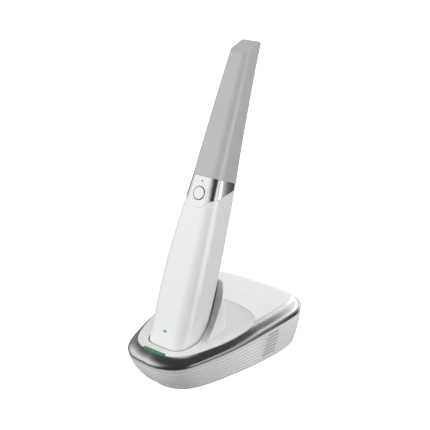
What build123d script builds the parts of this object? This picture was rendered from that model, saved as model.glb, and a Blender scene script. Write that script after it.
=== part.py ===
"""Wireless intraoral scanner standing in its charging dock.

Frame: +Z up, millimetres.  X = 0 is the plane of symmetry, the dock's narrow
front faces -Y, the handpiece leans back towards +Y.  The origin lies on the
standing surface under the middle of the dock's length.
"""
import os
from math import atan, cos, hypot, radians, sin, sqrt

from build123d import *

os.makedirs("parts", exist_ok=True)

# ------------------------------------------------------------ driving dimensions
YC = 75.65            # distance from the dock's front edge to the origin
ZF = 25.80            # height of the trim edge above the floor at the front
TRIM_RISE = 2.0       # degrees, the trim edge climbs towards the rear
LEAN = 23.06          # degrees, the handpiece leans back
LED_Y, LED_Z = 23.0, 17.5      # battery light on the handle, from the trim's front

WAND_BOTTOM = -25.0   # stations along the handpiece, from the battery light
SLEEVE_BOTTOM = -22.0
TIP_BASE = 121.0
TIP_TOP = 229.6
CORNER = 0.28         # corner radius / width of the handpiece section

# station, width, depth, bow of the front face
HANDLE = [
    (-25.0, 34.8, 34.9, -1.2),
    (0.0, 36.8, 35.3, 0.0),
    (30.0, 38.2, 34.3, 1.5),
    (58.0, 37.2, 33.2, 1.9),
    (90.0, 33.3, 31.6, 1.2),
    (121.0, 27.6, 29.5, -0.1),
]
TIP = [
    (121.15, 27.55, 29.45, -0.1),
    (150.0, 25.5, 25.4, -0.8),
    (173.0, 23.3, 22.7, -1.6),
    (195.0, 20.8, 20.7, -2.3),
    (218.0, 17.8, 19.2, -3.1),
    (229.6, 16.4, 18.7, -3.5),
]
HANDLE_WALL = 2.0
TIP_WALL = 1.5
NOSE_GAP = 0.6        # nose to tip, all round

COLLAR_LOW = 97.7     # lowest point of the collar's tongue
COLLAR_SIDE = 103.6   # collar edge at the front corners
COLLAR_RISE = 0.54    # rise of the collar edge per mm towards the rear
COLLAR_SEAM = 0.15

BUTTON_AT = 108.0
BUTTON_D = 10.1
BUTTON_HOLE_D = 10.9
BUTTON_TRAVEL = 0.7
DOT_AT = 117.4
DOT_D = 1.3

# half outlines of the dock, (x, y from the front edge)
TOP_OUTLINE = [(0, 0), (14, 1.5), (25.0, 7.8), (31.8, 19.3), (37.1, 35.9), (41.4, 53),
               (44.9, 75), (47.3, 98), (49.2, 116), (49.4, 130), (46.5, 141),
               (38.5, 148), (22, 150.7), (0, 151.3)]
FOOT_OUTLINE = [(0, 14.6), (10.7, 15.3), (19, 18.9), (25.2, 26.2), (31, 38.7),
                (35.6, 54), (40.9, 76), (44.4, 96), (45.9, 113), (45.2, 127),
                (42.3, 137), (35.5, 143.8), (20.5, 147), (0, 147.6)]
PANEL_OUTLINE = [(0, 9.4), (6.5, 9.5), (12.4, 10.4), (18.9, 13.5), (24.4, 19.5), (28.9, 28.4),
                 (32.3, 37.8), (35.7, 48.8), (37.9, 60), (39.1, 72), (38.9, 82), (35.3, 90.6),
                 (24.8, 98.6), (12.5, 102.2), (0, 103)]
# the dock's shoulder is a quarter ellipse from the trim edge to the deck
SHOULDER_IN = 10.5    # inset at the deck
DECK_H = 5.8          # deck over the trim edge at the front
DECK_RISE = 0.02      # and its climb per mm towards the rear
SHELL_WALL = 2.0
HOUSING_DROP = 24.6   # underside of the housing below the trim's front
HOUSING_WALL = 2.4
SHADOW_GAP = 1.0      # gap between trim edge and housing
RIBS = 7
RIB_DEPTH = 0.8
RIB_END = 88.0        # ribs fade out here, from the front
FOOT_H = 1.2

LIGHT_W, LIGHT_D, LIGHT_Y = 20.8, 3.6, 10.2
LINER_T = 1.6
PANEL_LOW = 2.6       # underside of the cradle panel over the trim edge
BAND_T = 1.5
REST_HALF = 24.6
REST_FRONT, REST_REAR = 26.0, 76.0
REST_TAPER = 3.2      # degrees
REST_TOP = 46.6       # station of the backrest's top edge
# scoop of the backrest in side view: depth behind the wand's front line, station
SCOOP = [(12.0, -8.2), (16.4, -5.0), (19.0, -2.9), (20.6, -1.0), (22.1, 1.2), (24.2, 6.2), (25.7, 11.0),
         (27.5, 18.0), (28.7, 26.0), (29.4, 35.0), (29.6, REST_TOP)]

VENT_ZS = [-1.2, -4.1, -7.0, -9.9, -12.8, -15.7, -18.6]
VENT_Y0, VENT_LEN, VENT_H = 92.8, 14.3, 1.15
VENT_STEP = 0.62      # each slot starts this much further forward than the one above

# ------------------------------------------------------------ frames
S, C = sin(radians(LEAN)), cos(radians(LEAN))
WAND = Plane(origin=(0, LED_Y - YC, LED_Z + ZF), x_dir=(1, 0, 0), z_dir=(0, S, C))
TR = radians(TRIM_RISE)
TRIM = Plane(origin=(0, -YC, ZF), x_dir=(1, 0, 0), z_dir=(0, -sin(TR), cos(TR)))


def crown(k):
    """Plane between the trim edge (k = 0) and the deck (k = 1)."""
    ang = TR + atan(DECK_RISE * k)
    return Plane(origin=(0, -YC - k * DECK_H * sin(TR), ZF + k * DECK_H * cos(TR)), x_dir=(1, 0, 0),
                 z_dir=(0, -sin(ang), cos(ang)))


def wand_point(x, d, t):
    """Point at offset x, depth d behind the front line, station t."""
    return (x, LED_Y - YC + S * t + C * d, LED_Z + ZF + C * t - S * d)


def at_station(table, t):
    """Width, depth and bow at any station, linear between the rows."""
    for (t0, *a), (t1, *b) in zip(table, table[1:]):
        if t <= t1 or (t1 == table[-1][0]):
            k = (t - t0) / (t1 - t0)
            return tuple(p + (q - p) * k for p, q in zip(a, b))


def front_plane(t, depth):
    """Plane facing the front of the handpiece at a station; local y runs up it."""
    return Plane(origin=wand_point(0, depth, t), x_dir=(1, 0, 0), z_dir=(0, -C, S))


def resample(half, n):
    """n + 1 points on a smooth curve through a half outline."""
    pts = [(-half[1][0], half[1][1])] + list(half) + [(-half[-2][0], half[-2][1])]
    chord = [0.0]
    for a, b in zip(pts, pts[1:]):
        chord.append(chord[-1] + sqrt(hypot(b[0] - a[0], b[1] - a[1])))
    fine = []
    for i in range(1, len(pts) - 2):
        p, k = pts[i - 1:i + 3], chord[i - 1:i + 3]
        for j in range(20):
            u = k[1] + (k[2] - k[1]) * j / 20
            q = []
            for c in (0, 1):
                a1 = ((k[1] - u) * p[0][c] + (u - k[0]) * p[1][c]) / (k[1] - k[0])
                a2 = ((k[2] - u) * p[1][c] + (u - k[1]) * p[2][c]) / (k[2] - k[1])
                a3 = ((k[3] - u) * p[2][c] + (u - k[2]) * p[3][c]) / (k[3] - k[2])
                b1 = ((k[2] - u) * a1 + (u - k[0]) * a2) / (k[2] - k[0])
                b2 = ((k[3] - u) * a2 + (u - k[1]) * a3) / (k[3] - k[1])
                q.append(((k[2] - u) * b1 + (u - k[1]) * b2) / (k[2] - k[1]))
            fine.append(tuple(q))
    fine.append(tuple(half[-1]))
    run = [0.0]
    for a, b in zip(fine, fine[1:]):
        run.append(run[-1] + hypot(b[0] - a[0], b[1] - a[1]))
    out, j = [], 0
    for i in range(n + 1):
        want = run[-1] * i / n
        while j < len(run) - 2 and run[j + 1] < want:
            j += 1
        k = (want - run[j]) / (run[j + 1] - run[j])
        out.append(tuple(a + (b - a) * k for a, b in zip(fine[j], fine[j + 1])))
    return out


def inset_half(pts, amount):
    """Move a half outline inwards; amount is a number or a function of y."""
    out = []
    for i, (x, y) in enumerate(pts):
        a = pts[i - 1] if i else (-pts[1][0], pts[1][1])
        b = pts[i + 1] if i < len(pts) - 1 else (-pts[-2][0], pts[-2][1])
        tx, ty = b[0] - a[0], b[1] - a[1]
        k = (amount(y) if callable(amount) else amount) / hypot(tx, ty)
        out.append((x - ty * k, y + tx * k))
    return out


def closed(half):
    """Full symmetric outline from a half."""
    return list(half) + [(-x, y) for x, y in half[-2:0:-1]]


def rib_weight(y):
    return min(1.0, max(0.0, (RIB_END - y) / 8.0))


N = 15
TOP_PTS = resample(TOP_OUTLINE, N)
FOOT_PTS = resample(FOOT_OUTLINE, N)
PANEL_PTS = resample(PANEL_OUTLINE, N)


def pocket_gap(t):
    """Room round the handpiece in its well, wider up the backrest."""
    return 0.95 + 0.1 * min(1.0, max(0.0, (t + 10.0) / 40.0))


def scoop(off, first=0):
    """Points of the scoop moved into the backrest, from a given point on."""
    out = []
    for i, (d, t) in enumerate(SCOOP):
        a, b = SCOOP[max(0, i - 1)], SCOOP[min(len(SCOOP) - 1, i + 1)]
        k = off / hypot(b[0] - a[0], b[1] - a[1])
        out.append((d + (b[1] - a[1]) * k, t - (b[0] - a[0]) * k))
    return out[first:]


def housing_half(v, inset=0.0, groove=0.0):
    """Half outline of the lower housing, v = 0 at its top edge, 1 at its foot."""
    k = max(0.0, v) ** 1.55
    pts = [(a + (c - a) * k, b + (d - b) * k) for (a, b), (c, d) in zip(TOP_PTS, FOOT_PTS)]
    return inset_half(pts, lambda y: 0.3 + inset + groove * rib_weight(y))


def housing_plane(v):
    """Plane of that outline, turning from the trim's slope to level."""
    ang = atan((1 - v) * sin(TR) / cos(TR))
    z = -(1 - v) * SHADOW_GAP - v * HOUSING_DROP
    return Plane(origin=(0, -YC, ZF + z), x_dir=(1, 0, 0), z_dir=(0, -sin(ang), cos(ang)))


# ============================================================ handpiece
# collar edge: a tongue in front, rising obliquely along the sides
ALPHA = atan(COLLAR_RISE)
EDGE = Plane(origin=wand_point(0, 0, 0), x_dir=(1, 0, 0),
             z_dir=(0, -(C * cos(ALPHA) + S * sin(ALPHA)), S * cos(ALPHA) - C * sin(ALPHA)))
EDGE_SPLIT = -63.0    # where the tongue's profile gives way to the plain one
LOW, SIDE = COLLAR_LOW * cos(ALPHA), COLLAR_SIDE * cos(ALPHA)

# one-piece sleeve, from the end cap up to the collar
with BuildPart() as handle_sleeve:
    for t, w, d, f in [(SLEEVE_BOTTOM, *at_station(HANDLE, SLEEVE_BOTTOM))] + HANDLE[1:]:
        with BuildSketch(WAND.offset(t)):
            with Locations((0, d / 2 - f)):
                RectangleRounded(w, d, CORNER * w)
    loft()
    for t, w, d, f in [(SLEEVE_BOTTOM, *at_station(HANDLE, SLEEVE_BOTTOM))] + HANDLE[1:]:
        with BuildSketch(WAND.offset(t)):
            with Locations((0, d / 2 - f)):
                RectangleRounded(w - 2 * HANDLE_WALL, d - 2 * HANDLE_WALL, CORNER * w - HANDLE_WALL)
    loft(mode=Mode.SUBTRACT)
    with BuildSketch(EDGE.offset(EDGE_SPLIT)):
        with BuildLine():
            Polyline((-12.4, SIDE - COLLAR_SEAM), (-40, SIDE - COLLAR_SEAM), (-40, 180), (40, 180),
                     (40, SIDE - COLLAR_SEAM), (12.4, SIDE - COLLAR_SEAM))
            Spline((12.4, SIDE - COLLAR_SEAM), (9.6, SIDE - 1.1 - COLLAR_SEAM), (5.2, LOW + 0.55 - COLLAR_SEAM),
                   (0, LOW - COLLAR_SEAM), (-5.2, LOW + 0.55 - COLLAR_SEAM), (-9.6, SIDE - 1.1 - COLLAR_SEAM),
                   (-12.4, SIDE - COLLAR_SEAM), tangents=((-1, 0), (-1, 0)))
        make_face()
    extrude(amount=120, mode=Mode.SUBTRACT)
    with BuildSketch(EDGE.offset(EDGE_SPLIT)):
        with Locations((0, SIDE - COLLAR_SEAM + 60)):
            Rectangle(80, 120)
    extrude(amount=-120, mode=Mode.SUBTRACT)
    # window of the battery light
    with BuildSketch(front_plane(0, 6)):
        RectangleRounded(3.0, 1.6, 0.5)
    extrude(amount=12, mode=Mode.SUBTRACT)
handle_sleeve.part.label = "handle_sleeve"

# chrome collar
with BuildPart() as trim_collar:
    for t, w, d, f in HANDLE[1:]:
        with BuildSketch(WAND.offset(t)):
            with Locations((0, d / 2 - f)):
                RectangleRounded(w, d, CORNER * w)
    loft()
    for t, w, d, f in HANDLE[1:]:
        with BuildSketch(WAND.offset(t)):
            with Locations((0, d / 2 - f)):
                RectangleRounded(w - 2 * HANDLE_WALL, d - 2 * HANDLE_WALL, CORNER * w - HANDLE_WALL)
    loft(mode=Mode.SUBTRACT)
    with BuildSketch(EDGE.offset(EDGE_SPLIT)):
        with BuildLine():
            Polyline((-12.4, SIDE), (-60, SIDE), (-60, -40), (60, -40), (60, SIDE), (12.4, SIDE))
            Spline((12.4, SIDE), (9.6, SIDE - 1.1), (5.2, LOW + 0.55), (0, LOW), (-5.2, LOW + 0.55),
                   (-9.6, SIDE - 1.1), (-12.4, SIDE), tangents=((-1, 0), (-1, 0)))
        make_face()
    extrude(amount=160, mode=Mode.SUBTRACT)
    with BuildSketch(EDGE.offset(EDGE_SPLIT)):
        with Locations((0, SIDE - 60)):
            Rectangle(120, 120)
    extrude(amount=-160, mode=Mode.SUBTRACT)
    with BuildSketch(front_plane(BUTTON_AT, 8)):
        Circle(BUTTON_HOLE_D / 2)
    extrude(amount=16, mode=Mode.SUBTRACT)
    with BuildSketch(front_plane(DOT_AT, 8)):
        Circle(DOT_D / 2 + 0.05)
    extrude(amount=16, mode=Mode.SUBTRACT)
trim_collar.part.label = "trim_collar"

# push button, its face follows the collar's front
BW, BD, BF = at_station(HANDLE, BUTTON_AT)
BUTTON_LEAN = (1.2 + 0.1) / 31.0
BUTTON_PLANE = Plane(origin=wand_point(0, -BF, BUTTON_AT), x_dir=(1, 0, 0),
                     z_dir=(0, -C + BUTTON_LEAN * S, S + BUTTON_LEAN * C))
with BuildPart() as scan_button:
    with BuildSketch(BUTTON_PLANE.offset(-2.6)):
        Circle(BUTTON_D / 2)
    extrude(amount=3.0)
    fillet(scan_button.faces().sort_by(Axis(BUTTON_PLANE.origin, BUTTON_PLANE.z_dir))[-1].edges(), 0.5)
    with BuildSketch(BUTTON_PLANE.offset(-2.6)):
        Circle(BUTTON_D / 2 + 1.0)
    extrude(amount=-1.0)
    with BuildSketch(BUTTON_PLANE.offset(-3.6)):
        Circle(1.6)
    extrude(amount=-0.6)
scan_button.part.label = "scan_button"

# switch under the button, on its small board
with BuildPart() as button_switch:
    with BuildSketch(BUTTON_PLANE.offset(-6.6)):
        RectangleRounded(13, 13, 1.5)
    extrude(amount=-1.2)
    with BuildSketch(BUTTON_PLANE.offset(-6.6)):
        Rectangle(4.5, 4.5)
    extrude(amount=1.2)
    with BuildSketch(BUTTON_PLANE.offset(-5.4)):
        Circle(1.2)
    extrude(amount=0.3)
button_switch.part.label = "button_switch"

# dot light above the button
DW, DD, DF = at_station(HANDLE, DOT_AT)
with BuildPart() as status_led_lens:
    with BuildSketch(front_plane(DOT_AT, 1.7)):
        Circle(DOT_D / 2)
    extrude(amount=1.7 + DF + 0.03)
status_led_lens.part.label = "status_led_lens"

# battery light
with BuildPart() as battery_led_lens:
    with BuildSketch(front_plane(0, 2.6)):
        RectangleRounded(2.9, 1.5, 0.45)
    extrude(amount=2.6 + 0.03)
    with BuildSketch(front_plane(0, 2.6)):
        RectangleRounded(4.4, 3.0, 0.6)
    extrude(amount=-0.9)
battery_led_lens.part.label = "battery_led_lens"

# end cap with a spigot in the sleeve
EW, ED, EF = at_station(HANDLE, SLEEVE_BOTTOM)
with BuildPart() as handle_end_cap:
    with BuildSketch(WAND.offset(WAND_BOTTOM)):
        with Locations((0, ED / 2 - EF)):
            RectangleRounded(EW, ED, CORNER * EW)
    extrude(amount=SLEEVE_BOTTOM - WAND_BOTTOM - 0.1)
    fillet(handle_end_cap.faces().sort_by(Axis(WAND.origin, WAND.z_dir))[0].edges(), 2.0)
    with BuildSketch(WAND.offset(SLEEVE_BOTTOM - 0.1)):
        with Locations((0, ED / 2 - EF)):
            RectangleRounded(EW - 2 * HANDLE_WALL - 0.4, ED - 2 * HANDLE_WALL - 0.4, CORNER * EW - HANDLE_WALL - 0.2)
            RectangleRounded(EW - 2 * HANDLE_WALL - 3.4, ED - 2 * HANDLE_WALL - 3.4, CORNER * EW - HANDLE_WALL - 1.7,
                             mode=Mode.SUBTRACT)
    extrude(amount=4.0)
    with BuildSketch(WAND.offset(WAND_BOTTOM)):
        with GridLocations(4.2, 1, 4, 1):
            with Locations((0, ED / 2 - EF)):
                RectangleRounded(3.1, 6.1, 0.8)
    extrude(amount=0.7, mode=Mode.SUBTRACT)
handle_end_cap.part.label = "handle_end_cap"

with BuildPart() as charge_pads:
    with BuildSketch(WAND.offset(WAND_BOTTOM + 0.05)):
        with GridLocations(4.2, 1, 4, 1):
            with Locations((0, ED / 2 - EF)):
                RectangleRounded(3.0, 6.0, 0.75)
    extrude(amount=0.6)
charge_pads.part.label = "charge_pads"

# removable grey tip: bevelled end, hollow, scan opening at the back of its end
BEVEL = [(3.05, 216.6), (17.0, TIP_TOP)]
BEV_D, BEV_T = BEVEL[1][0] - BEVEL[0][0], BEVEL[1][1] - BEVEL[0][1]
BEV_L = hypot(BEV_D, BEV_T)
BEVEL_N = (0, (-BEV_T * C + BEV_D * S) / BEV_L, (BEV_T * S + BEV_D * C) / BEV_L)
BEVEL_PLANE = Plane(origin=wand_point(0, *BEVEL[0]), x_dir=(1, 0, 0), z_dir=BEVEL_N)
# hollow of the tip
with BuildPart() as tip_hollow:
    for t, w, d, f in [(120.0, *TIP[0][1:])] + TIP[1:-1] + [(226.6, *at_station(TIP, 226.6))]:
        with BuildSketch(WAND.offset(t)):
            with Locations((0, d / 2 - f)):
                RectangleRounded(w - 2 * TIP_WALL, d - 2 * TIP_WALL, CORNER * w - TIP_WALL)
    loft()
    with BuildSketch(BEVEL_PLANE.offset(-TIP_WALL - 1.3)):
        Rectangle(60, 60)
    extrude(amount=30, mode=Mode.SUBTRACT)

with BuildPart() as scan_tip_shell:
    for t, w, d, f in TIP:
        with BuildSketch(WAND.offset(t)):
            with Locations((0, d / 2 - f)):
                RectangleRounded(w, d, CORNER * w)
    loft()
    with BuildSketch(BEVEL_PLANE):
        Rectangle(60, 60)
    extrude(amount=30, mode=Mode.SUBTRACT)
    fillet(scan_tip_shell.faces().sort_by(Axis(WAND.origin, WAND.z_dir))[-1].edges(), 1.4)
    add(tip_hollow.part, mode=Mode.SUBTRACT)
    # scan opening, on the side away from the button
    with BuildSketch(front_plane(211.5, 12.0)):
        RectangleRounded(12.5, 17.5, 3.0)
    extrude(amount=-20, mode=Mode.SUBTRACT)
    # seat of the mirror in the bevelled wall
    with BuildSketch(BEVEL_PLANE.offset(-TIP_WALL - 1.31)):
        with Locations((0, 9.3)):
            RectangleRounded(11.4, 13.2, 2.0)
    extrude(amount=1.35, mode=Mode.SUBTRACT)
scan_tip_shell.part.label = "scan_tip_shell"

with BuildPart() as tip_mirror:
    with BuildSketch(BEVEL_PLANE.offset(-TIP_WALL - 1.3)):
        with Locations((0, 9.3)):
            RectangleRounded(11.3, 13.1, 1.95)
    extrude(amount=1.3)
tip_mirror.part.label = "tip_mirror"

# fixed nose inside the tip
NOSE_IN = TIP_WALL + NOSE_GAP
NOSE_T = 1.6
NOSE_TOP = 192.0
SW, SD, SF = at_station(TIP, 127.6)      # section at the seal
NOSE = [(TIP_BASE - 4.0, *TIP[0][1:]), (124.0, *at_station(TIP, 124.0)), (150.0, *at_station(TIP, 150.0)),
        (173.0, *at_station(TIP, 173.0)), (NOSE_TOP, *at_station(TIP, NOSE_TOP))]
with BuildPart() as optics_nose:
    for t, w, d, f in NOSE:
        with BuildSketch(WAND.offset(t)):
            with Locations((0, d / 2 - f)):
                RectangleRounded(w - 2 * NOSE_IN, d - 2 * NOSE_IN, CORNER * w - NOSE_IN)
    loft()
    for t, w, d, f in NOSE:
        with BuildSketch(WAND.offset(t)):
            with Locations((0, d / 2 - f)):
                RectangleRounded(w - 2 * NOSE_IN - 2 * NOSE_T, d - 2 * NOSE_IN - 2 * NOSE_T, CORNER * w - NOSE_IN - NOSE_T)
    loft(mode=Mode.SUBTRACT)
    # seat of the front glass
    with BuildSketch(WAND.offset(NOSE_TOP)):
        with Locations((0, NOSE[-1][2] / 2 - NOSE[-1][3])):
            RectangleRounded(NOSE[-1][1] - 2 * NOSE_IN - 1.4, NOSE[-1][2] - 2 * NOSE_IN - 1.4, CORNER * NOSE[-1][1] - NOSE_IN - 0.7)
    extrude(amount=-1.3, mode=Mode.SUBTRACT)
    # groove of the seal
    with BuildSketch(WAND.offset(126.0)):
        with Locations((0, SD / 2 - SF)):
            RectangleRounded(40, 40, 2)
            RectangleRounded(SW - 2 * NOSE_IN - 2.2, SD - 2 * NOSE_IN - 2.2, CORNER * SW - NOSE_IN - 1.1,
                             mode=Mode.SUBTRACT)
    extrude(amount=1.7, mode=Mode.SUBTRACT)
    # flange that closes the collar's mouth
    with BuildSketch(WAND.offset(TIP_BASE - 3.0)):
        with Locations((0, HANDLE[-1][2] / 2 - HANDLE[-1][3])):
            RectangleRounded(HANDLE[-1][1] - 2 * HANDLE_WALL - 0.2, HANDLE[-1][2] - 2 * HANDLE_WALL - 0.2, CORNER * HANDLE[-1][1] - HANDLE_WALL - 0.1)
            RectangleRounded(18.5, 20.0, 4.0, mode=Mode.SUBTRACT)
    extrude(amount=2.9)
optics_nose.part.label = "optics_nose"

with BuildPart() as nose_seal:
    with BuildSketch(WAND.offset(126.1)):
        with Locations((0, SD / 2 - SF)):
            RectangleRounded(SW - 2 * NOSE_IN + 0.3, SD - 2 * NOSE_IN + 0.3, CORNER * SW - NOSE_IN + 0.15)
            RectangleRounded(SW - 2 * NOSE_IN - 2.1, SD - 2 * NOSE_IN - 2.1, CORNER * SW - NOSE_IN - 1.05,
                             mode=Mode.SUBTRACT)
    extrude(amount=1.5)
nose_seal.part.label = "nose_seal"

with BuildPart() as nose_window:
    with BuildSketch(WAND.offset(NOSE_TOP - 0.05)):
        with Locations((0, NOSE[-1][2] / 2 - NOSE[-1][3])):
            RectangleRounded(NOSE[-1][1] - 2 * NOSE_IN - 1.5, NOSE[-1][2] - 2 * NOSE_IN - 1.5, CORNER * NOSE[-1][1] - NOSE_IN - 0.75)
    extrude(amount=-1.2)
nose_window.part.label = "nose_window"

# imaging unit: an open channel that carries camera and projector
with BuildPart() as optics_chassis:
    with BuildSketch(WAND.offset(58.0)):
        with Locations((0, 18.0)):
            Rectangle(20, 15)
            Rectangle(17.4, 12.4, mode=Mode.SUBTRACT)
    extrude(amount=58.0)
    with BuildSketch(front_plane(80.0, 9.0)):
        RectangleRounded(12, 30, 2)
    extrude(amount=-4, mode=Mode.SUBTRACT)
    with BuildSketch(WAND.offset(58.0)):
        with Locations((0, 18.0)):
            Rectangle(20, 15)
            with GridLocations(14, 1, 2, 1):
                Circle(1.0, mode=Mode.SUBTRACT)
    extrude(amount=-1.6)
optics_chassis.part.label = "optics_chassis"

with BuildPart() as camera_module:
    with BuildSketch(WAND.offset(90.0)):
        with Locations((-4.4, 18.0)):
            Rectangle(7.6, 10)
    extrude(amount=12)
    with BuildSketch(WAND.offset(102.0)):
        with Locations((-4.4, 18.0)):
            Circle(3.4)
    extrude(amount=9)
camera_module.part.label = "camera_module"

with BuildPart() as projector_module:
    with BuildSketch(WAND.offset(84.0)):
        with Locations((4.3, 18.0)):
            Rectangle(7.6, 10)
    extrude(amount=18)
    with BuildSketch(WAND.offset(102.0)):
        with Locations((4.3, 18.0)):
            Circle(3.0)
    extrude(amount=7)
projector_module.part.label = "projector_module"

with BuildPart() as chassis_screws:
    with BuildSketch(WAND.offset(56.3)):
        with Locations((0, 18.0)):
            with GridLocations(14, 1, 2, 1):
                Circle(1.8)
    extrude(amount=-1.2)
    with BuildSketch(WAND.offset(56.3)):
        with Locations((0, 18.0)):
            with GridLocations(14, 1, 2, 1):
                Circle(0.9)
    extrude(amount=1.5)
chassis_screws.part.label = "chassis_screws"

with BuildPart() as main_board:
    with BuildSketch(WAND.offset(-12.0)):
        with Locations((0, 27.0)):
            Rectangle(20, 1.4)
    extrude(amount=92.0)
    with BuildSketch(front_plane(30.0, 26.3)):
        with GridLocations(8.5, 20, 2, 3):
            Rectangle(6, 9)
    extrude(amount=1.0)
main_board.part.label = "main_board"

with BuildPart() as battery_cell:
    with BuildSketch(WAND.offset(-15.0)):
        with Locations((0, 14.3)):
            Circle(9.2)
    extrude(amount=65.0)
    fillet(battery_cell.edges().filter_by(GeomType.CIRCLE), 0.8)
    with BuildSketch(WAND.offset(50.0)):
        with Locations((0, 14.3)):
            Circle(3.0)
    extrude(amount=1.2)
battery_cell.part.label = "battery_cell"

# ============================================================ dock
# polished shoulder and deck, one moulding
with BuildPart() as top_shell:
    for j in range(7):
        a = radians(15.0 * j)
        with BuildSketch(crown(sin(a))):
            with BuildLine():
                Spline(*closed(inset_half(TOP_PTS, SHOULDER_IN * (1 - cos(a)))), periodic=True)
            make_face()
    loft()
    for j in range(-1, 5):
        a = radians(22.5 * max(0, j))
        with BuildSketch(crown(0.72 * sin(a) if j >= 0 else -0.1)):
            with BuildLine():
                Spline(*closed(inset_half(TOP_PTS, SHELL_WALL + 8.0 * (1 - cos(a)))), periodic=True)
            make_face()
    loft(mode=Mode.SUBTRACT)
    # skirt behind the shadow gap
    with BuildSketch(TRIM.offset(-3.0)):
        with BuildLine():
            Spline(*closed(inset_half(TOP_PTS, 3.0)), periodic=True)
        make_face()
        with BuildLine():
            Spline(*closed(inset_half(TOP_PTS, 4.4)), periodic=True)
        make_face(mode=Mode.SUBTRACT)
    extrude(amount=6.5)
    # opening of the cradle panel and of the light bar
    with BuildSketch(TRIM.offset(-6.0)):
        with BuildLine():
            Spline(*closed(PANEL_PTS), periodic=True)
        make_face()
    extrude(amount=20.0, mode=Mode.SUBTRACT)
    with BuildSketch(TRIM.offset(-6.0)):
        with Locations((0, LIGHT_Y)):
            RectangleRounded(LIGHT_W + 0.3, LIGHT_D + 0.3, 0.9)
    extrude(amount=20.0, mode=Mode.SUBTRACT)
top_shell.part.label = "top_shell"

# lower housing: lip, fine ribs that fade out at the rear, open below
V0, PITCH = 0.125, 0.116
LAYERS = [(0.0, 0.0)]
for k in range(RIBS):
    v = V0 + k * PITCH
    LAYERS += [(v, 0.0), (v + 0.28 * PITCH, RIB_DEPTH), (v + 0.62 * PITCH, 0.0)]
LAYERS += [(0.98, 0.0)]
with BuildPart() as base_housing:
    for v, g in LAYERS:
        with BuildSketch(housing_plane(v)):
            with BuildLine():
                Spline(*closed(housing_half(v, 0.0, g)), periodic=True)
            make_face()
    with BuildSketch(housing_plane(1.0)):
        with BuildLine():
            Spline(*closed(housing_half(1.0, 0.6)), periodic=True)
        make_face()
    loft(ruled=True)
    for v in (-0.02, 0.25, 0.5, 0.75, 1.02):
        with BuildSketch(housing_plane(v)):
            with BuildLine():
                Spline(*closed(housing_half(v, HOUSING_WALL)), periodic=True)
            make_face()
    loft(mode=Mode.SUBTRACT)
    # rebate behind a thin lip, under the shadow gap
    with BuildSketch(TRIM.offset(-2.5)):
        with BuildLine():
            Spline(*closed(inset_half(TOP_PTS, 1.3)), periodic=True)
        make_face()
    extrude(amount=4.0, mode=Mode.SUBTRACT)
    # vent slots, both sides
    for k, z in enumerate(VENT_ZS):
        with BuildSketch(Plane.YZ):
            with Locations((VENT_Y0 + VENT_LEN / 2 - VENT_STEP * k - YC, z + ZF)):
                SlotOverall(VENT_LEN, VENT_H)
        extrude(amount=70, both=True, mode=Mode.SUBTRACT)
    # opening of the power socket
    with BuildSketch(Plane.XZ.offset(-60.0)):
        with Locations((0, 13.6)):
            RectangleRounded(9.6, 3.9, 1.9)
    extrude(amount=-30, mode=Mode.SUBTRACT)
base_housing.part.label = "base_housing"

# backrest that rises behind the handpiece: a tapered prism, scooped in side view
def side_points(pairs):
    """(Y, Z) of points in the plane of symmetry."""
    return [wand_point(0, d, t)[1:] for d, t in pairs]


TAIL = side_points([(29.7, -12.0), (29.7, 34.0), (31.2, 34.0), (31.2, -12.0)])
TAIL_HALF = 19.4
with BuildPart() as backrest:
    with BuildSketch(TRIM.offset(3.5)):
        with Locations((0, (REST_FRONT + REST_REAR) / 2)):
            RectangleRounded(2 * REST_HALF, REST_REAR - REST_FRONT, 12.5)
    extrude(amount=62, taper=REST_TAPER)
    with BuildSketch(Plane.YZ):
        with BuildLine():
            Spline(*side_points(scoop(0.0)))
            Polyline(side_points(scoop(0.0))[-1], (REST_REAR - 2.4 - YC, 43.6 + ZF), (REST_REAR + 0.6 - YC, 26.0 + ZF),
                     (REST_REAR + 0.6 - YC, -12 + ZF), side_points(scoop(0.0))[0])
        make_face()
    extrude(amount=40, both=True, mode=Mode.INTERSECT)
    # rounded top corners, seen from the front
    with BuildSketch(front_plane(0, 70.0)):
        with Locations((0, REST_TOP - 45.0)):
            RectangleRounded(46.8, 90.0, 8.0)
        with Locations((0, -20.0)):
            Rectangle(120, 80)
    extrude(amount=120, mode=Mode.INTERSECT)

# edge of the lining on the scoop
with BuildPart() as lining_edge:
    add(backrest.part)
    with BuildSketch(Plane.YZ):
        with BuildLine():
            Spline(*side_points(scoop(0.05, 3)))
            Spline(*side_points(scoop(BAND_T, 3)))
            Line(side_points(scoop(0.05, 3))[0], side_points(scoop(BAND_T, 3))[0])
            Line(side_points(scoop(0.05, 3))[-1], side_points(scoop(BAND_T, 3))[-1])
        make_face()
    extrude(amount=40, both=True, mode=Mode.INTERSECT)

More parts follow.
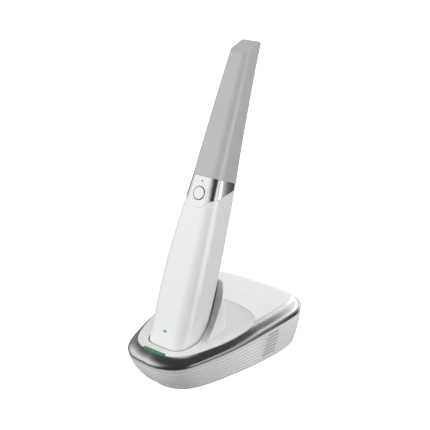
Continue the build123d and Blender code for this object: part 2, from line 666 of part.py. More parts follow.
# white panel, slightly dished round the handpiece, with the backrest
with BuildPart() as cradle_panel:
    with BuildSketch(TRIM.offset(PANEL_LOW)):
        with BuildLine():
            Spline(*closed(inset_half(PANEL_PTS, 0.14)), periodic=True)
        make_face()
    extrude(amount=12.0)
    with BuildSketch(crown(1.0).offset(-0.2)):
        with Locations((0, 75)):
            Rectangle(200, 260)
    extrude(amount=20.0, mode=Mode.SUBTRACT)
    for h, i in [(-0.1, 0.6), (-0.65, 7.0)]:
        with BuildSketch(crown(1.0).offset(h)):
            with BuildLine():
                Spline(*closed(inset_half(PANEL_PTS, i)), periodic=True)
            make_face()
    loft(ruled=True, mode=Mode.SUBTRACT)
    add(backrest.part)
    # room for the lining on the scoop and for its root
    with BuildSketch(Plane.YZ):
        with BuildLine():
            Spline(*side_points(scoop(-0.6, 3)))
            Spline(*side_points(scoop(BAND_T + 0.08, 3)))
            Line(side_points(scoop(-0.6, 3))[0], side_points(scoop(BAND_T + 0.08, 3))[0])
            Line(side_points(scoop(-0.6, 3))[-1], side_points(scoop(BAND_T + 0.08, 3))[-1])
        make_face()
    extrude(amount=40, both=True, mode=Mode.SUBTRACT)
    with BuildSketch(Plane.YZ):
        with BuildLine():
            Polyline(*side_points([(29.6, -14.0), (29.6, 34.1), (31.3, 34.1), (31.3, -14.0)]), close=True)
        make_face()
    extrude(amount=TAIL_HALF + 0.1, both=True, mode=Mode.SUBTRACT)
    # well of the handpiece
    for t, w, d, f in [(-40.0, *HANDLE[0][1:])] + HANDLE[:4] + [(75.0, *at_station(HANDLE, 75.0))]:
        g = pocket_gap(t)
        with BuildSketch(WAND.offset(t)):
            with Locations((0, d / 2 - f)):
                RectangleRounded(w + 2 * g, d + 2 * g, CORNER * w + g)
    loft(mode=Mode.SUBTRACT)
    with BuildSketch(TRIM.offset(-6.0)):
        with Locations((0, LIGHT_Y)):
            RectangleRounded(LIGHT_W + 0.3, LIGHT_D + 0.3, 0.9)
    extrude(amount=20.0, mode=Mode.SUBTRACT)
cradle_panel.part.label = "cradle_panel"

# soft grey lining: a cup under the panel and a broad edge up the backrest
with BuildPart() as cradle_liner:
    for t, w, d, f in [(-26.7, *at_station(HANDLE, -25.0)), (0.0, *HANDLE[1][1:]), (30.0, *HANDLE[2][1:])]:
        g = pocket_gap(t) + LINER_T
        with BuildSketch(WAND.offset(t)):
            with Locations((0, d / 2 - f)):
                RectangleRounded(w + 2 * g, d + 2 * g, CORNER * w + g)
    loft()
    with BuildSketch(TRIM.offset(PANEL_LOW - 0.1)):
        Rectangle(300, 400)
    extrude(amount=80, mode=Mode.SUBTRACT)
    add(lining_edge.part)
    with BuildSketch(Plane.YZ):
        with BuildLine():
            Polyline(*TAIL, close=True)
        make_face()
    extrude(amount=TAIL_HALF, both=True)
    for t, w, d, f in [HANDLE[0]] + HANDLE[1:4] + [(75.0, *at_station(HANDLE, 75.0))]:
        g = pocket_gap(t) - 0.1
        with BuildSketch(WAND.offset(t - 0.1 if t < -20 else t)):
            with Locations((0, d / 2 - f)):
                RectangleRounded(w + 2 * g, d + 2 * g, CORNER * w + g)
    loft(mode=Mode.SUBTRACT)
    # window for the spring pins
    with BuildSketch(WAND.offset(-40)):
        with GridLocations(4.2, 1, 4, 1):
            with Locations((0, ED / 2 - EF)):
                Circle(1.15)
    extrude(amount=20, mode=Mode.SUBTRACT)
cradle_liner.part.label = "cradle_liner"

# light bar across the seam between shoulder and panel
with BuildPart() as led_light_bar:
    with BuildSketch(TRIM.offset(2.0)):
        with Locations((0, LIGHT_Y)):
            RectangleRounded(LIGHT_W, LIGHT_D, 0.75)
    extrude(amount=3.95)
    with BuildSketch(TRIM.offset(2.3)):
        with Locations((0, LIGHT_Y + 0.2)):
            RectangleRounded(LIGHT_W + 2.4, LIGHT_D + 0.8, 0.75)
    extrude(amount=-1.2)
led_light_bar.part.label = "led_light_bar"

with BuildPart() as led_board:
    with BuildSketch(TRIM.offset(-0.3)):
        with Locations((0, LIGHT_Y + 0.3)):
            RectangleRounded(LIGHT_W, 3.6, 0.6)
    extrude(amount=-1.2)
    with BuildSketch(TRIM.offset(-0.3)):
        with Locations((0, LIGHT_Y)):
            with GridLocations(5.2, 1, 4, 1):
                Rectangle(2.4, 1.6)
    extrude(amount=0.9)
led_board.part.label = "led_board"

# bottom plate
FLOOR = ZF - HOUSING_DROP
PLATE_PTS = housing_half(1.0, HOUSING_WALL + 0.25)
SCREWS = [(-16, 26), (16, 26), (-30, 128), (30, 128)]
FEET = [(-17, 36), (17, 36), (-33, 112), (33, 112)]
with BuildPart() as base_plate:
    with BuildSketch(Plane.XY.offset(FLOOR)):
        with BuildLine():
            Spline(*[(x, y - YC) for x, y in closed(PLATE_PTS)], periodic=True)
        make_face()
    extrude(amount=2.2)
    with Locations(*[(x, y - YC, FLOOR) for x, y in FEET]):
        Cylinder(4.85, 0.8, align=(Align.CENTER, Align.CENTER, Align.MIN), mode=Mode.SUBTRACT)
    with Locations(*[(x, y - YC, FLOOR) for x, y in SCREWS]):
        Cylinder(1.35, 2.2, align=(Align.CENTER, Align.CENTER, Align.MIN), mode=Mode.SUBTRACT)
        Cylinder(2.5, 1.2, align=(Align.CENTER, Align.CENTER, Align.MIN), mode=Mode.SUBTRACT)
base_plate.part.label = "base_plate"

with BuildPart() as rubber_feet:
    with Locations(*[(x, y - YC, 0) for x, y in FEET]):
        Cylinder(4.75, FLOOR + 0.75, align=(Align.CENTER, Align.CENTER, Align.MIN))
    fillet(rubber_feet.edges().group_by(Axis.Z)[0], 0.4)
rubber_feet.part.label = "rubber_feet"

with BuildPart() as base_screws:
    with Locations(*[(x, y - YC, FLOOR + 0.1) for x, y in SCREWS]):
        Cylinder(2.4, 1.05, align=(Align.CENTER, Align.CENTER, Align.MIN))
        Cylinder(1.25, 6.0, align=(Align.CENTER, Align.CENTER, Align.MIN))
    with Locations(*[(x, y - YC, FLOOR + 0.1) for x, y in SCREWS]):
        Box(2.6, 0.6, 0.6, align=(Align.CENTER, Align.CENTER, Align.MIN), mode=Mode.SUBTRACT)
        Box(0.6, 2.6, 0.6, align=(Align.CENTER, Align.CENTER, Align.MIN), mode=Mode.SUBTRACT)
base_screws.part.label = "base_screws"

# spring pins under the handpiece and their carrier
PIN_D, PIN_TOP, PIN_LOW = 1.6, -25.0, -30.2
with BuildPart() as pin_block:
    with BuildSketch(WAND.offset(-26.8)):
        with Locations((0, ED / 2 - EF)):
            RectangleRounded(19, 8, 1.2)
            with GridLocations(4.2, 1, 4, 1):
                Circle(PIN_D / 2 + 0.2, mode=Mode.SUBTRACT)
    extrude(amount=-2.4)
    with BuildSketch(WAND.offset(-29.2)):
        with Locations((0, ED / 2 - EF)):
            RectangleRounded(19, 8, 1.2)
            with GridLocations(4.2, 1, 4, 1):
                Circle(PIN_D / 2 + 0.75, mode=Mode.SUBTRACT)
    extrude(amount=-2.6)
pin_block.part.label = "pin_block"

with BuildPart() as contact_pins:
    with BuildSketch(WAND.offset(PIN_LOW)):
        with Locations((0, ED / 2 - EF)):
            with GridLocations(4.2, 1, 4, 1):
                Circle(PIN_D / 2)
    extrude(amount=PIN_TOP - PIN_LOW)
    fillet(contact_pins.edges().group_by(Axis(WAND.origin, WAND.z_dir))[-1], 0.5)
    with BuildSketch(WAND.offset(-29.35)):
        with Locations((0, ED / 2 - EF)):
            with GridLocations(4.2, 1, 4, 1):
                Circle(PIN_D / 2 + 0.45)
    extrude(amount=-0.85)
contact_pins.part.label = "contact_pins"

# steel weight and board in the rear of the dock
with BuildPart() as ballast_weight:
    with BuildSketch(Plane.XY.offset(FLOOR + 2.3)):
        with Locations((0, 108 - YC)):
            RectangleRounded(56, 50, 6)
    extrude(amount=5.0)
    chamfer(ballast_weight.edges().group_by(Axis.Z)[-1], 0.6)
ballast_weight.part.label = "ballast_weight"

with BuildPart() as dock_board:
    with BuildSketch(Plane.XY.offset(10.2)):
        with Locations((0, 112 - YC)):
            RectangleRounded(58, 62, 3)
    extrude(amount=1.6)
    with BuildSketch(Plane.XY.offset(11.8)):
        with Locations((-10, 100 - YC)):
            Rectangle(14, 14)
        with Locations((14, 96 - YC)):
            Rectangle(9, 12)
        with Locations((-16, 124 - YC)):
            Rectangle(10, 8)
    extrude(amount=1.4)
    with BuildSketch(Plane.XY.offset(11.8)):
        with Locations((18, 118 - YC)):
            Circle(4.0)
        with Locations((6, 122 - YC)):
            Circle(3.0)
    extrude(amount=6.0)
dock_board.part.label = "dock_board"

# power socket in the rear wall
INLET_Y, INLET_Z = 147.6, 13.6
with BuildPart() as power_inlet:
    with BuildSketch(Plane(origin=(0, INLET_Y - YC, INLET_Z), x_dir=(1, 0, 0), z_dir=(0, -1, 0))):
        RectangleRounded(8.94, 3.26, 1.6)
        RectangleRounded(8.34, 2.56, 1.25, mode=Mode.SUBTRACT)
    extrude(amount=8.0)
    with BuildSketch(Plane(origin=(0, INLET_Y - YC - 8.0, INLET_Z), x_dir=(1, 0, 0), z_dir=(0, -1, 0))):
        RectangleRounded(8.94, 3.26, 1.6)
    extrude(amount=0.6)
    with BuildSketch(Plane(origin=(0, INLET_Y - YC - 8.0, INLET_Z), x_dir=(1, 0, 0), z_dir=(0, 1, 0))):
        Rectangle(6.6, 0.7)
    extrude(amount=6.6)
power_inlet.part.label = "power_inlet"

for piece in (handle_sleeve, trim_collar, scan_button, button_switch, status_led_lens, battery_led_lens,
              handle_end_cap, charge_pads, scan_tip_shell, tip_mirror, optics_nose, nose_seal, nose_window,
              optics_chassis, camera_module, projector_module, chassis_screws, main_board, battery_cell,
              top_shell, base_housing, cradle_panel, cradle_liner, led_light_bar, led_board, base_plate,
              rubber_feet, base_screws, pin_block, contact_pins, ballast_weight, dock_board, power_inlet):
    export_step(piece.part, "parts/" + piece.part.label + ".step")
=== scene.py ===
"""Looks of the wireless intraoral scanner standing in its charging dock.

Metres, +Z up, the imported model's own frame.  Every node keeps its modelled
shape and gets a node-built finish; the light is a plain white studio.
"""
import math

import bpy
from mathutils import Matrix, Vector

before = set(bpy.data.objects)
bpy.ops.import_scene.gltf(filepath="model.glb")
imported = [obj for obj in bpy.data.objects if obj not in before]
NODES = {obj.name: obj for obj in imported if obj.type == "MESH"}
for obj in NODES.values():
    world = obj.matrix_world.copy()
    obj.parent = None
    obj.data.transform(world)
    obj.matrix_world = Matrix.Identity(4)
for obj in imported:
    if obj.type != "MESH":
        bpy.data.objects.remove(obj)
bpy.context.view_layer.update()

scene = bpy.context.scene


# ---------------------------------------------------------------- node helpers
def fresh(name):
    """A new material with a Principled shader wired to its output."""
    mat = bpy.data.materials.new(name)
    mat.use_nodes = True
    tree = mat.node_tree
    tree.nodes.clear()
    out = tree.nodes.new("ShaderNodeOutputMaterial")
    bsdf = tree.nodes.new("ShaderNodeBsdfPrincipled")
    tree.links.new(bsdf.outputs["BSDF"], out.inputs["Surface"])
    return mat, tree, bsdf


def coords(tree, scale=(1.0, 1.0, 1.0), turn=(0.0, 0.0, 0.0)):
    """Object coordinates, in metres, turned and stretched."""
    tex = tree.nodes.new("ShaderNodeTexCoord")
    mapping = tree.nodes.new("ShaderNodeMapping")
    mapping.inputs["Rotation"].default_value = turn
    mapping.inputs["Scale"].default_value = scale
    tree.links.new(tex.outputs["Object"], mapping.inputs["Vector"])
    return mapping.outputs["Vector"]


def noise(tree, vector, scale, detail=3.0, rough=0.55):
    tex = tree.nodes.new("ShaderNodeTexNoise")
    tex.inputs["Scale"].default_value = scale
    tex.inputs["Detail"].default_value = detail
    tex.inputs["Roughness"].default_value = rough
    tree.links.new(vector, tex.inputs["Vector"])
    return tex.outputs["Fac"]


def ramp(tree, fac, stops, mode="LINEAR"):
    """Colour ramp; stops are (position, (r, g, b))."""
    node = tree.nodes.new("ShaderNodeValToRGB")
    node.color_ramp.interpolation = mode
    els = node.color_ramp.elements
    while len(els) < len(stops):
        els.new(0.5)
    for el, (pos, col) in zip(els, stops):
        el.position = pos
        el.color = (*col, 1.0)
    tree.links.new(fac, node.inputs["Fac"])
    return node.outputs["Color"]


def spread(tree, value, lo, hi, frm=(0.3, 0.7), smooth=False):
    """Map a 0..1 texture to a range."""
    node = tree.nodes.new("ShaderNodeMapRange")
    node.clamp = True
    if smooth:
        node.interpolation_type = "SMOOTHSTEP"
    node.inputs["From Min"].default_value = frm[0]
    node.inputs["From Max"].default_value = frm[1]
    node.inputs["To Min"].default_value = lo
    node.inputs["To Max"].default_value = hi
    tree.links.new(value, node.inputs["Value"])
    return node.outputs["Result"]


def maths(tree, op, a, b=None):
    node = tree.nodes.new("ShaderNodeMath")
    node.operation = op
    for i, v in enumerate((a, b)):
        if v is None:
            continue
        if isinstance(v, (int, float)):
            node.inputs[i].default_value = v
        else:
            tree.links.new(v, node.inputs[i])
    return node.outputs[0]


def bump(tree, height, strength, distance, under=None):
    node = tree.nodes.new("ShaderNodeBump")
    node.inputs["Strength"].default_value = strength
    node.inputs["Distance"].default_value = distance
    tree.links.new(height, node.inputs["Height"])
    if under is not None:
        tree.links.new(under, node.inputs["Normal"])
    return node.outputs["Normal"]


def tint(col, k):
    return tuple(min(1.0, c * k) for c in col)


# ---------------------------------------------------------------- finishes
def moulded(name, col, rough, var=0.05, grain=2600.0, grain_bump=0.05, sheet=0.02, spec=0.5, sink=0.03, painted_well_shade=None):
    """Injection-moulded plastic: faint flow mottling, spark-eroded grain, uneven gloss; painted shade below a tilted
    line, if one is given, where the handle stands in the well.
    """
    mat, tree, bsdf = fresh(name)
    v = coords(tree)
    flow_and_well_shade = noise(tree, v, 26.0, 4.0)
    stops = [(0.3, tint(col, 1.0 - sheet)), (0.5, col), (0.72, tint(col, 1.0 + sheet * 0.5))]
    # painted shade: below a tilted line the colour ramps down to a dark tone, so the gap round the handle reads dark
    if painted_well_shade:
        z0, slope, dark = painted_well_shade
        tex = tree.nodes.new("ShaderNodeTexCoord")
        sep = tree.nodes.new("ShaderNodeSeparateXYZ")
        tree.links.new(tex.outputs["Object"], sep.inputs[0])
        height = maths(tree, "SUBTRACT", sep.outputs["Z"], maths(tree, "MULTIPLY", sep.outputs["Y"], slope))
        flow_and_well_shade = maths(tree, "MULTIPLY", flow_and_well_shade, spread(tree, height, 0.0, 1.0, (z0 - 0.0003, z0), smooth=True))
        stops = [(0.0, dark), (0.2, stops[0][1])] + stops
    tree.links.new(ramp(tree, flow_and_well_shade, stops), bsdf.inputs["Base Color"])
    handled = noise(tree, v, 90.0, 5.0, 0.62)
    tree.links.new(spread(tree, handled, rough - var, rough + var), bsdf.inputs["Roughness"])
    fine = noise(tree, v, grain, 2.0, 0.5)
    soft = noise(tree, v, 160.0, 2.0, 0.5)
    n = bump(tree, soft, sink, 0.0004)
    tree.links.new(bump(tree, fine, grain_bump, 0.00012, n), bsdf.inputs["Normal"])
    bsdf.inputs["Specular IOR Level"].default_value = spec
    return mat


def plated(name, col, rough, var=0.03, wave=0.02, hair=0.0):
    """Bright plating: slight ripple from the moulding below, faint hairline wiping marks."""
    mat, tree, bsdf = fresh(name)
    v = coords(tree)
    cloud = noise(tree, v, 45.0, 4.0, 0.6)
    tree.links.new(ramp(tree, cloud, [(0.3, tint(col, 0.975)), (0.7, tint(col, 1.012))]), bsdf.inputs["Base Color"])
    wipe = noise(tree, coords(tree, (1.0, 14.0, 14.0), (0.3, 0.2, 0.5)), 220.0, 4.0, 0.6)
    tree.links.new(spread(tree, wipe, rough - var, rough + var), bsdf.inputs["Roughness"])
    ripple = noise(tree, v, 70.0, 2.0, 0.5)
    n = bump(tree, ripple, wave, 0.0006)
    if hair:
        n = bump(tree, wipe, hair, 0.00006, n)
    tree.links.new(n, bsdf.inputs["Normal"])
    bsdf.inputs["Metallic"].default_value = 1.0
    return mat


def soft_rubber(name, col, rough=0.72):
    mat, tree, bsdf = fresh(name)
    v = coords(tree)
    dust = noise(tree, v, 120.0, 5.0, 0.65)
    tree.links.new(ramp(tree, dust, [(0.32, tint(col, 0.94)), (0.6, col), (0.78, tint(col, 1.06))]), bsdf.inputs["Base Color"])
    tree.links.new(spread(tree, dust, rough - 0.08, rough + 0.08), bsdf.inputs["Roughness"])
    tree.links.new(bump(tree, noise(tree, v, 1900.0, 3.0, 0.6), 0.12, 0.00015), bsdf.inputs["Normal"])
    bsdf.inputs["Specular IOR Level"].default_value = 0.35
    return mat


def soft_liner(name, low, high, z0, z1):
    """Soft lining: pale where it runs out into the panel and towards its top; the grey between is painted shade, where
    the wand shades it.
    """
    mat, tree, bsdf = fresh(name)
    tex = tree.nodes.new("ShaderNodeTexCoord")
    sep = tree.nodes.new("ShaderNodeSeparateXYZ")
    tree.links.new(tex.outputs["Object"], sep.inputs[0])
    v = coords(tree)
    dust = noise(tree, v, 240.0, 5.0, 0.6)
    # painted shade: the lining turns grey with height where the wand shades its front
    shade_rise = spread(tree, sep.outputs["Z"], 0.0, 1.0, (z0, z1), smooth=True)
    # paler again towards the top
    paler_top = spread(tree, sep.outputs["Z"], 0.0, -0.75, (z1 + 0.018, z1 + 0.030), smooth=True)
    shade_and_dust = maths(tree, "ADD", maths(tree, "ADD", shade_rise, paler_top), spread(tree, dust, -0.03, 0.03))
    tree.links.new(ramp(tree, shade_and_dust, [(0.0, low), (1.0, high)]), bsdf.inputs["Base Color"])
    tree.links.new(spread(tree, dust, 0.56, 0.68), bsdf.inputs["Roughness"])
    tree.links.new(bump(tree, noise(tree, v, 1900.0, 3.0, 0.6), 0.08, 0.00012), bsdf.inputs["Normal"])
    bsdf.inputs["Specular IOR Level"].default_value = 0.3
    return mat


def brushed(name, col, rough=0.32, along=(1.0, 30.0, 30.0)):
    mat, tree, bsdf = fresh(name)
    streak = noise(tree, coords(tree, along), 160.0, 5.0, 0.6)
    tree.links.new(ramp(tree, streak, [(0.3, tint(col, 0.9)), (0.7, tint(col, 1.06))]), bsdf.inputs["Base Color"])
    tree.links.new(spread(tree, streak, rough - 0.09, rough + 0.09), bsdf.inputs["Roughness"])
    tree.links.new(bump(tree, streak, 0.06, 0.0001), bsdf.inputs["Normal"])
    bsdf.inputs["Metallic"].default_value = 1.0
    return mat


def board(name):
    """Solder mask over copper traces, with bare pads."""
    mat, tree, bsdf = fresh(name)
    v = coords(tree)
    brick = tree.nodes.new("ShaderNodeTexBrick")
    brick.inputs["Scale"].default_value = 180.0
    brick.inputs["Mortar Size"].default_value = 0.03
    brick.inputs["Color1"].default_value = (0.012, 0.10, 0.05, 1)
    brick.inputs["Color2"].default_value = (0.016, 0.13, 0.065, 1)
    brick.inputs["Mortar"].default_value = (0.03, 0.20, 0.10, 1)
    tree.links.new(v, brick.inputs["Vector"])
    tree.links.new(brick.outputs["Color"], bsdf.inputs["Base Color"])
    tree.links.new(spread(tree, noise(tree, v, 300.0), 0.28, 0.44), bsdf.inputs["Roughness"])
    tree.links.new(bump(tree, brick.outputs["Fac"], 0.25, 0.00005), bsdf.inputs["Normal"])
    return mat


def lit_window(name, centre, half, dark, glow, power, dim=0.75):
    """Diffusing light window: brightest over its lamps, dying out at its ends; on the light bar the dark ends are also
    painted shade.
    """
    mat, tree, bsdf = fresh(name)
    tex = tree.nodes.new("ShaderNodeTexCoord")
    sep = tree.nodes.new("ShaderNodeSeparateXYZ")
    tree.links.new(tex.outputs["Object"], sep.inputs[0])
    away = maths(tree, "ABSOLUTE", maths(tree, "SUBTRACT", sep.outputs["X"], centre))
    # on the light bar the dark ends stand in for the shade of its recess's end walls: painted shade, beside the glow
    # fading there
    inside = spread(tree, away, 1.0, 0.0, (half * dim, half * 0.97), smooth=True)
    v = coords(tree)
    cloud = noise(tree, v, 700.0, 3.0)
    mixed = maths(tree, "MULTIPLY", inside, spread(tree, cloud, 0.86, 1.0))
    tree.links.new(ramp(tree, mixed, [(0.0, dark), (1.0, glow)]), bsdf.inputs["Base Color"])
    tree.links.new(ramp(tree, mixed, [(0.0, (0.0, 0.0, 0.0)), (1.0, glow)]), bsdf.inputs["Emission Color"])
    bsdf.inputs["Emission Strength"].default_value = power
    tree.links.new(spread(tree, cloud, 0.2, 0.3), bsdf.inputs["Roughness"])
    tree.links.new(bump(tree, cloud, 0.03, 0.0001), bsdf.inputs["Normal"])
    return mat


def clear_glass(name):
    mat, tree, bsdf = fresh(name)
    v = coords(tree)
    smear = noise(tree, v, 140.0, 4.0)
    tree.links.new(ramp(tree, smear, [(0.3, (0.90, 0.96, 0.96)), (0.7, (0.97, 1.0, 1.0))]), bsdf.inputs["Base Color"])
    tree.links.new(spread(tree, smear, 0.01, 0.05), bsdf.inputs["Roughness"])
    tree.links.new(bump(tree, smear, 0.01, 0.0001), bsdf.inputs["Normal"])
    bsdf.inputs["Transmission Weight"].default_value = 1.0
    bsdf.inputs["IOR"].default_value = 1.5
    return mat


def wrapped_cell(name):
    """Shrink sleeve with two lighter bands."""
    mat, tree, bsdf = fresh(name)
    v = coords(tree)
    wave = tree.nodes.new("ShaderNodeTexWave")
    wave.wave_type = "BANDS"
    wave.bands_direction = "Z"
    wave.inputs["Scale"].default_value = 9.0
    tree.links.new(v, wave.inputs["Vector"])
    tree.links.new(ramp(tree, wave.outputs["Fac"], [(0.0, (0.03, 0.08, 0.26)), (0.93, (0.04, 0.10, 0.30)), (0.96, (0.45, 0.5, 0.6))]),
                   bsdf.inputs["Base Color"])
    crease = noise(tree, v, 260.0, 4.0)
    tree.links.new(spread(tree, crease, 0.22, 0.4), bsdf.inputs["Roughness"])
    tree.links.new(bump(tree, crease, 0.08, 0.0003), bsdf.inputs["Normal"])
    return mat


WHITE = moulded("white_satin", (0.845, 0.848, 0.855), 0.36, 0.04, 2600.0, 0.05, 0.010, 0.5, 0.015,
                (0.0342, 0.04, (0.10, 0.10, 0.103)))        # painted shade: dark where the handle stands in the well, so the gap round it reads dark
TIP = moulded("grey_matt", (0.505, 0.509, 0.515), 0.44, 0.04, 2200.0, 0.09, 0.02)
HOUSING = moulded("housing_satin", (0.71, 0.713, 0.718), 0.42, 0.05, 2000.0, 0.08, 0.015)
PANEL = moulded("panel_white", (0.82, 0.822, 0.828), 0.32, 0.015, 3000.0, 0.03, 0.010, 0.5, 0.006)
BASE = moulded("base_textured", (0.60, 0.605, 0.61), 0.55, 0.07, 900.0, 0.25, 0.03)
BLACK = moulded("black_matt", (0.022, 0.022, 0.024), 0.5, 0.08, 1800.0, 0.12, 0.1)
CHROME = plated("chrome", (0.80, 0.805, 0.815), 0.16, 0.03, 0.012)
BUTTON = plated("button_plating", (0.79, 0.795, 0.805), 0.13, 0.03, 0.012)
SHELL = plated("silver_plating", (0.80, 0.805, 0.812), 0.22, 0.03, 0.010)
# painted shade: pale low down, grey higher up where the wand shades the lining
LINER = soft_liner("liner_grey_and_shade", (0.64, 0.642, 0.646), (0.38, 0.38, 0.383), 0.0335, 0.0435)
RUBBER = soft_rubber("rubber_black", (0.03, 0.03, 0.031))
STEEL = brushed("steel_plain", (0.55, 0.56, 0.57))
ALU = brushed("aluminium_machined", (0.68, 0.69, 0.70), 0.28, (20.0, 20.0, 1.0))
GOLD = plated("gold_contact", (0.80, 0.60, 0.24), 0.22, 0.05, 0.02)
MIRROR = plated("front_mirror", (0.90, 0.905, 0.91), 0.035, 0.015, 0.0)
BOARD = board("solder_mask")
CELL = wrapped_cell("cell_sleeve")
GLASS = clear_glass("optical_glass")
DOT = moulded("smoked_lens", (0.16, 0.16, 0.17), 0.2, 0.04, 3000.0, 0.02, 0.05)
LAMP = lit_window("battery_light", 0.0, 0.00145, (0.01, 0.10, 0.035), (0.02, 0.32, 0.09), 0.35)
# painted shade: the bar's dark ends stand in for the shade of its recess's end walls
BAR = lit_window("bar_light", 0.0, 0.0104, (0.004, 0.010, 0.006), (0.018, 0.13, 0.04), 0.60, 0.86)

FINISH = {
    "handle_sleeve": WHITE, "handle_end_cap": WHITE, "trim_collar": CHROME, "scan_button": BUTTON,
    "button_switch": BOARD, "status_led_lens": DOT, "battery_led_lens": LAMP, "charge_pads": GOLD,
    "scan_tip_shell": TIP, "tip_mirror": MIRROR, "optics_nose": BLACK, "nose_seal": RUBBER, "nose_window": GLASS,
    "optics_chassis": ALU, "camera_module": BLACK, "projector_module": BLACK, "chassis_screws": STEEL,
    "main_board": BOARD, "battery_cell": CELL, "top_shell": SHELL, "base_housing": HOUSING, "cradle_panel": PANEL,
    "cradle_liner": LINER, "led_light_bar": BAR, "led_board": BOARD, "base_plate": BASE, "rubber_feet": RUBBER,
    "base_screws": STEEL, "pin_block": BLACK, "contact_pins": GOLD, "ballast_weight": STEEL, "dock_board": BOARD,
    "power_inlet": STEEL,
}
for node_name, obj in NODES.items():
    mat = FINISH[node_name]
    if not obj.material_slots:
        obj.data.materials.append(mat)
    for s in obj.material_slots:
        s.material = mat

# ---------------------------------------------------------------- floor
bpy.ops.mesh.primitive_plane_add(size=9.0, location=(0, 0, 0))
floor = bpy.context.object
floor.name = "floor"
f_mat, f_tree, f_bsdf = fresh("pale_floor")
f_v = coords(f_tree)
f_tree.links.new(ramp(f_tree, noise(f_tree, f_v, 3.0, 3.0), [(0.3, (0.93, 0.93, 0.932)), (0.7, (0.945, 0.945, 0.946))]),
                 f_bsdf.inputs["Base Color"])
f_tree.links.new(spread(f_tree, noise(f_tree, f_v, 40.0), 0.75, 0.85), f_bsdf.inputs["Roughness"])
f_bsdf.inputs["Emission Color"].default_value = (1, 1, 1, 1)
f_bsdf.inputs["Emission Strength"].default_value = 0.9
f_bsdf.inputs["Specular IOR Level"].default_value = 0.0
floor.data.materials.append(f_mat)
floor.visible_glossy = False
floor.visible_diffuse = False

# ---------------------------------------------------------------- studio light
world = bpy.data.worlds.new("studio")
scene.world = world
world.use_nodes = True
wt = world.node_tree
wt.nodes.clear()
w_out = wt.nodes.new("ShaderNodeOutputWorld")
w_bg = wt.nodes.new("ShaderNodeBackground")
wt.links.new(w_bg.outputs[0], w_out.inputs["Surface"])
w_tex = wt.nodes.new("ShaderNodeTexCoord")
w_dir = w_tex.outputs["Generated"]


def dotted(vec):
    node = wt.nodes.new("ShaderNodeVectorMath")
    node.operation = "DOT_PRODUCT"
    node.inputs[1].default_value = vec
    wt.links.new(w_dir, node.inputs[0])
    return node.outputs["Value"]


def window(value, half, soft):
    """1 inside +-half, fading to 0 over soft (radians)."""
    return spread(wt, maths(wt, "ABSOLUTE", value), 1.0, 0.0, (half - soft / 2, half + soft / 2), smooth=True)


def softbox(az, el, half_az, half_el, power, soft_az=12.0, soft_el=12.0):
    """A soft panel of light in the studio's walls, by its azimuth and elevation in degrees."""
    a, e = math.radians(az), math.radians(el)
    fwd = Vector((math.cos(a) * math.cos(e), math.sin(a) * math.cos(e), math.sin(e)))
    right = Vector((-math.sin(a), math.cos(a), 0.0))
    up = fwd.cross(right)
    x = maths(wt, "ARCTAN2", dotted(right), dotted(fwd))
    y = maths(wt, "ARCSINE", dotted(up))
    both = maths(wt, "MULTIPLY", window(x, math.radians(half_az), math.radians(soft_az)),
                 window(y, math.radians(half_el), math.radians(soft_el)))
    return maths(wt, "MULTIPLY", both, power)


# what the polished surfaces mirror: azimuth from +X towards +Y, elevation, half sizes, strength
PANELS = [
    softbox(211.0, 20.0, 40.0, 27.0, 1.0, 50.0, 36.0),       # broad soft box on the left
    softbox(120.0, 8.0, 18.0, 34.0, 1.36, 14.0, 14.0),       # behind, over the deck
    softbox(88.0, 15.0, 40.0, 13.0, 1.0, 20.0, 10.0),        # behind, on the right
    softbox(95.0, 0.0, 27.0, 26.0, 1.08, 10.0, 10.0),        # behind, low on the right
    softbox(14.0, -4.0, 20.0, 15.0, 0.62, 14.0, 10.0),       # bright floor on the right
    softbox(158.0, 10.0, 26.0, 26.0, 0.26, 20.0, 16.0),
]
glossy = maths(wt, "ADD", PANELS[0], 0.034)
for p in PANELS[1:]:
    glossy = maths(wt, "MAXIMUM", glossy, p)
# soft light for everything else: brighter from above
up_z = dotted((0, 0, 1))
ambient = spread(wt, up_z, 0.10, 1.02, (-1.0, 1.0))

path = wt.nodes.new("ShaderNodeLightPath")


def choose(fac, a, b):
    """a where fac is 0, b where it is 1."""
    node = wt.nodes.new("ShaderNodeMix")
    node.data_type = "FLOAT"
    wt.links.new(fac, node.inputs["Factor"])
    for i, v in ((2, a), (3, b)):
        if isinstance(v, (int, float)):
            node.inputs[i].default_value = v
        else:
            wt.links.new(v, node.inputs[i])
    return node.outputs[0]


level = choose(path.outputs["Is Glossy Ray"], ambient, glossy)
level = choose(path.outputs["Is Camera Ray"], level, 1.02)
wt.links.new(level, w_bg.inputs["Strength"])


def area(name, where, at, size, watts):
    data = bpy.data.lights.new(name, "AREA")
    data.shape = "DISK"
    data.size = size
    data.energy = watts
    obj = bpy.data.objects.new(name, data)
    scene.collection.objects.link(obj)
    obj.location = where
    obj.rotation_euler = (Vector(at) - Vector(where)).to_track_quat("-Z", "Y").to_euler()
    obj.visible_glossy = False
    obj.visible_camera = False
    return obj


area("key", (-0.75, -1.20, 0.62), (0, 0, 0.10), 1.1, 9.6)
area("fill", (0.90, 0.90, 0.45), (0, 0, 0.08), 0.9, 6.5)
area("front", (0.86, -1.10, 0.35), (0, 0, 0.10), 0.9, 2.5)


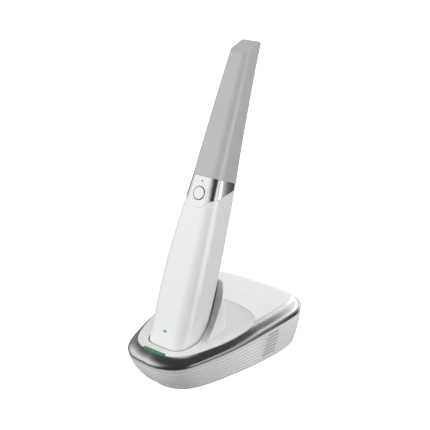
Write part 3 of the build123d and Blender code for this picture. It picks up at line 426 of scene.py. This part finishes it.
def screen(name, at, az, el, roll, wide, high, level, names, sheen_only=False, reach=0.6):
    """A lit screen some way off that only the named nodes see."""
    a, e = math.radians(az), math.radians(el)
    out = Vector((math.cos(a) * math.cos(e), math.sin(a) * math.cos(e), math.sin(e)))
    data = bpy.data.lights.new(name, "AREA")
    data.shape = "RECTANGLE"
    data.size, data.size_y = wide, high
    data.energy = level * math.pi * wide * high
    obj = bpy.data.objects.new(name, data)
    scene.collection.objects.link(obj)
    obj.matrix_world = (Matrix.Translation(Vector(at) + out * reach) @ out.to_track_quat("Z", "Y").to_matrix().to_4x4()
                        @ Matrix.Rotation(math.radians(roll), 4, "Z"))
    obj.visible_camera = False
    obj.visible_diffuse = not sheen_only
    seen_by = bpy.data.collections.new(name + "_seen_by")
    for n in names:
        seen_by.objects.link(NODES[n])
    obj.light_linking.receiver_collection = seen_by
    return obj


COLLAR_AT = (0.0, -0.0096, 0.1445)
screen("collar_front", COLLAR_AT, 246.0, 16.0, 0.0, 0.86, 0.36, 0.27, ["trim_collar", "scan_button"])
screen("collar_corner", COLLAR_AT, 276.0, 8.0, 0.0, 0.46, 0.40, 0.85, ["trim_collar"])
screen("collar_side", COLLAR_AT, -24.0, -2.0, 15.0, 0.56, 0.34, 1.02, ["trim_collar", "scan_button"])
screen("collar_back", COLLAR_AT, 20.0, -8.0, 15.0, 0.40, 0.34, 0.42, ["trim_collar", "scan_button"])
screen("collar_card", (0.0386, -0.0192, 0.1407), 51.8, -21.8, -14.0, 0.06, 0.09, 0.95, ["trim_collar"], True, 0.07)
screen("wand_sheen", (0.0, -0.02, 0.13), 1.0, -5.0, 0.0, 0.36, 0.60, 5.6, ["handle_sleeve", "scan_tip_shell"], True)
screen("housing_card", (0.049, 0.045, 0.02), 40.0, 8.0, 0.0, 0.25, 0.12, 2.3, ["base_housing"], False, 0.24)


def ceiling(name, centre, turn, wide, deep, level, names):
    """A level card overhead, facing down, that only the named nodes see."""
    data = bpy.data.lights.new(name, "AREA")
    data.shape = "RECTANGLE"
    data.size, data.size_y = wide, deep
    data.energy = level * math.pi * wide * deep
    obj = bpy.data.objects.new(name, data)
    scene.collection.objects.link(obj)
    obj.matrix_world = Matrix.Translation(Vector(centre)) @ Matrix.Rotation(math.radians(turn), 4, "Z")
    obj.visible_camera = False
    seen_by = bpy.data.collections.new(name + "_seen_by")
    for n in names:
        seen_by.objects.link(NODES[n])
    obj.light_linking.receiver_collection = seen_by
    return obj


ceiling("deck_card", (0.700, 0.780, 0.385), 15.7, 1.8, 0.6, 0.90, ["top_shell"])

# ---------------------------------------------------------------- camera
cam_data = bpy.data.cameras.new("camera")
cam = bpy.data.objects.new("camera", cam_data)
scene.collection.objects.link(cam)
cam_data.sensor_width = 36.0
cam_data.lens = 950.0 * 36.0 / 430.0
cam_data.clip_start = 0.01
cam_data.clip_end = 50.0
AZ, EL, DIST = math.radians(38.2), math.radians(21.8), 0.7364
back = Vector((math.sin(AZ) * math.cos(EL), -math.cos(AZ) * math.cos(EL), math.sin(EL)))
side = Vector((math.cos(AZ), math.sin(AZ), 0.0))
upward = back.cross(side)
spot = Vector((0.0, 0.00865, 0.11888)) + back * DIST
cam.matrix_world = Matrix((
    (side.x, upward.x, back.x, spot.x),
    (side.y, upward.y, back.y, spot.y),
    (side.z, upward.z, back.z, spot.z),
    (0, 0, 0, 1)))
scene.camera = cam

scene.view_settings.view_transform = "Standard"
scene.view_settings.look = "None"
scene.view_settings.exposure = 0.0
scene.view_settings.gamma = 1.0
